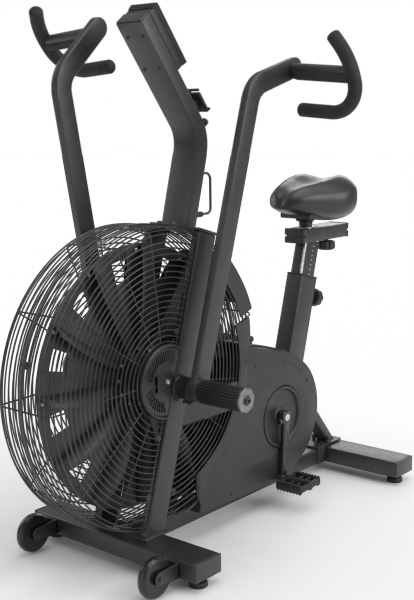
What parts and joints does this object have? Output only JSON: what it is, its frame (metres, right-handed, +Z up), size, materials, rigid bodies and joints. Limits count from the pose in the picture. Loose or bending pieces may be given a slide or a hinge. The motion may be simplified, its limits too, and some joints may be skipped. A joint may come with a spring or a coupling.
{
  "type": "air_bike",
  "caption": "Upright air bike with a caged fan wheel in front, swinging handle arms, a crank drive under moulded covers and an adjustable padded saddle",
  "frame": {"origin": "floor level, under the middle of the bounding box", "axes": "+X rearward from the fan to the saddle, -Y to the rider's left, +Z up"},
  "size_m": [1.2669, 0.7114, 1.3519],
  "materials": {
    "frame_coat": "semi-matte charcoal powder coat",
    "steel_hardware": "zinc plated bolts, axles and rods",
    "fan_steel": "satin grey sheet steel",
    "cage_wire": "satin black coated wire",
    "shroud_plastic": "finely textured black moulding",
    "console_plastic": "fine grain black moulding",
    "screen_glass": "dark display window",
    "crank_steel": "gloss black forged steel",
    "pedal_plastic": "moulded nylon",
    "belt_rubber": "matte rubber",
    "wheel_tyre": "smooth polyurethane",
    "grip_foam": "closed-cell foam sleeve",
    "saddle_cover": "smooth synthetic leather over foam"
  },
  "bodies": {
    "frame": {"front_stabilizer": "frame_coat", "rear_stabilizer": "frame_coat", "main_rail": "frame_coat", "leg_left": "frame_coat", "leg_right": "frame_coat", "console_post": "frame_coat", "seat_tube": "frame_coat", "rear_socket": "frame_coat", "bottom_bracket": "frame_coat", "axle_brackets": "frame_coat", "pivot_housings": "shroud_plastic", "bearings": "steel_hardware", "fan_axle": "steel_hardware", "cage_left": "cage_wire", "cage_right": "cage_wire", "cage_band": "cage_wire", "leg_covers": "shroud_plastic", "casing_left": "shroud_plastic", "casing_right": "shroud_plastic", "casing_top": "shroud_plastic", "rear_fender": "shroud_plastic", "frame_bolts": "steel_hardware", "drive_belt": "belt_rubber", "console_housing": "console_plastic", "console_bezel": "console_plastic", "console_screen": "screen_glass", "bottle_hook": "cage_wire", "phone_base": "console_plastic", "seat_sleeve": "shroud_plastic"},
    "crank_set": {"crank_axle": "steel_hardware", "drive_pulley": "shroud_plastic", "crank_left": "crank_steel", "crank_right": "crank_steel", "crank_discs": "shroud_plastic"},
    "pedal_l": {"pedal_left": "pedal_plastic"},
    "pedal_r": {"pedal_right": "pedal_plastic"},
    "fan": {"fan_wheel": "fan_steel"},
    "wheel_l": {"wheel_left": "wheel_tyre"},
    "wheel_r": {"wheel_right": "wheel_tyre"},
    "swing_arm_l": {"arm_left": "frame_coat", "grip_left": "grip_foam", "peg_left": "belt_rubber"},
    "swing_arm_r": {"arm_right": "frame_coat", "grip_right": "grip_foam", "peg_right": "belt_rubber"},
    "rod_l": {"link_rod_left": "steel_hardware"},
    "rod_r": {"link_rod_right": "steel_hardware"},
    "seat_column": {"seat_post": "frame_coat"},
    "saddle_carriage": {"carriage": "steel_hardware", "saddle_base": "shroud_plastic", "saddle_pad": "saddle_cover"},
    "height_pin": {"height_knob": "pedal_plastic"},
    "fore_aft_clamp": {"fore_aft_knob": "pedal_plastic"},
    "foot_fl": {"foot_front_left": "belt_rubber"},
    "foot_fr": {"foot_front_right": "belt_rubber"},
    "foot_rl": {"foot_rear_left": "belt_rubber"},
    "foot_rr": {"foot_rear_right": "belt_rubber"},
    "start_button": {"button_start": "console_plastic"},
    "jaw": {"phone_jaw": "belt_rubber"},
    "holder_knob": {"phone_knob": "console_plastic"}
  },
  "joints": [
    {"name": "crank_spin", "type": "hinge", "parent": "frame", "child": "crank_set", "pos_m": [0.2165, 0, 0.252], "axis": [0, 1, 0], "continuous": true},
    {"name": "fan_spin", "type": "hinge", "parent": "frame", "child": "fan", "pos_m": [-0.2595, 0, 0.45], "axis": [0, 1, 0], "continuous": true},
    {"name": "pedal_left_spin", "type": "hinge", "parent": "crank_set", "child": "pedal_l", "pos_m": [0.20429, 0, 0.07743], "axis": [0, 1, 0], "continuous": true},
    {"name": "pedal_right_spin", "type": "hinge", "parent": "crank_set", "child": "pedal_r", "pos_m": [0.22871, 0, 0.42657], "axis": [0, 1, 0], "continuous": true},
    {"name": "arm_left_swing", "type": "hinge", "parent": "frame", "child": "swing_arm_l", "pos_m": [-0.2125, 0, 0.428], "axis": [0, 1, 0], "range_deg": [-27.5, 0]},
    {"name": "arm_right_swing", "type": "hinge", "parent": "frame", "child": "swing_arm_r", "pos_m": [-0.2125, 0, 0.428], "axis": [0, 1, 0], "range_deg": [0, 27.5]},
    {"name": "rod_left_pivot", "type": "hinge", "parent": "swing_arm_l", "child": "rod_l", "pos_m": [-0.23297, 0, 0.36106], "axis": [0, 1, 0], "range_deg": [0, 27.5]},
    {"name": "rod_right_pivot", "type": "hinge", "parent": "swing_arm_r", "child": "rod_r", "pos_m": [-0.19974, 0, 0.35917], "axis": [0, 1, 0], "range_deg": [-27.5, 0]},
    {"name": "wheel_left_spin", "type": "hinge", "parent": "frame", "child": "wheel_l", "pos_m": [-0.4395, 0, 0.05], "axis": [0, 1, 0], "continuous": true},
    {"name": "wheel_right_spin", "type": "hinge", "parent": "frame", "child": "wheel_r", "pos_m": [-0.4395, 0, 0.05], "axis": [0, 1, 0], "continuous": true},
    {"name": "seat_height", "type": "slide", "parent": "frame", "child": "seat_column", "axis": [0.274, 0, 0.9617], "range_m": [-0.05, 0.025]},
    {"name": "seat_fore_aft", "type": "slide", "parent": "seat_column", "child": "saddle_carriage", "axis": [1, 0, 0], "range_m": [-0.015, 0.015]},
    {"name": "height_pin_pull", "type": "slide", "parent": "frame", "child": "height_pin", "axis": [0.9617, 0, -0.274], "range_m": [0, 0.012], "stiffness_N_per_m": 400},
    {"name": "fore_aft_clamp_turn", "type": "hinge", "parent": "saddle_carriage", "child": "fore_aft_clamp", "pos_m": [0.5665, 0, 0.7], "axis": [0, 0, 1], "range_deg": [-90, 90]},
    {"name": "foot_front_left_turn", "type": "hinge", "parent": "frame", "child": "foot_fl", "pos_m": [-0.3295, -0.243, 0], "axis": [0, 0, 1], "continuous": true},
    {"name": "foot_front_right_turn", "type": "hinge", "parent": "frame", "child": "foot_fr", "pos_m": [-0.3295, 0.243, 0], "axis": [0, 0, 1], "continuous": true},
    {"name": "foot_rear_left_turn", "type": "hinge", "parent": "frame", "child": "foot_rl", "pos_m": [0.5665, -0.2495, 0], "axis": [0, 0, 1], "continuous": true},
    {"name": "foot_rear_right_turn", "type": "hinge", "parent": "frame", "child": "foot_rr", "pos_m": [0.5665, 0.2495, 0], "axis": [0, 0, 1], "continuous": true},
    {"name": "start_button_press", "type": "slide", "parent": "frame", "child": "start_button", "axis": [-0.7944, 0, -0.6074], "range_m": [0, 0.001], "stiffness_N_per_m": 500},
    {"name": "phone_jaw_slide", "type": "slide", "parent": "frame", "child": "jaw", "axis": [-0.6074, 0, 0.7944], "range_m": [0, 0.01]},
    {"name": "phone_knob_turn", "type": "hinge", "parent": "frame", "child": "holder_knob", "pos_m": [-0.04448, -0.012, 1.03643], "axis": [0.7944, 0, 0.6074], "range_deg": [-90, 90]}
  ],
  "couplings": [
    {"joint": "fan_spin", "follows": "crank_spin", "ratio": 5},
    {"joint": "arm_right_swing", "follows": "arm_left_swing", "ratio": -1},
    {"joint": "rod_left_pivot", "follows": "arm_left_swing", "ratio": -1},
    {"joint": "rod_right_pivot", "follows": "arm_left_swing", "ratio": 1}
  ]
}
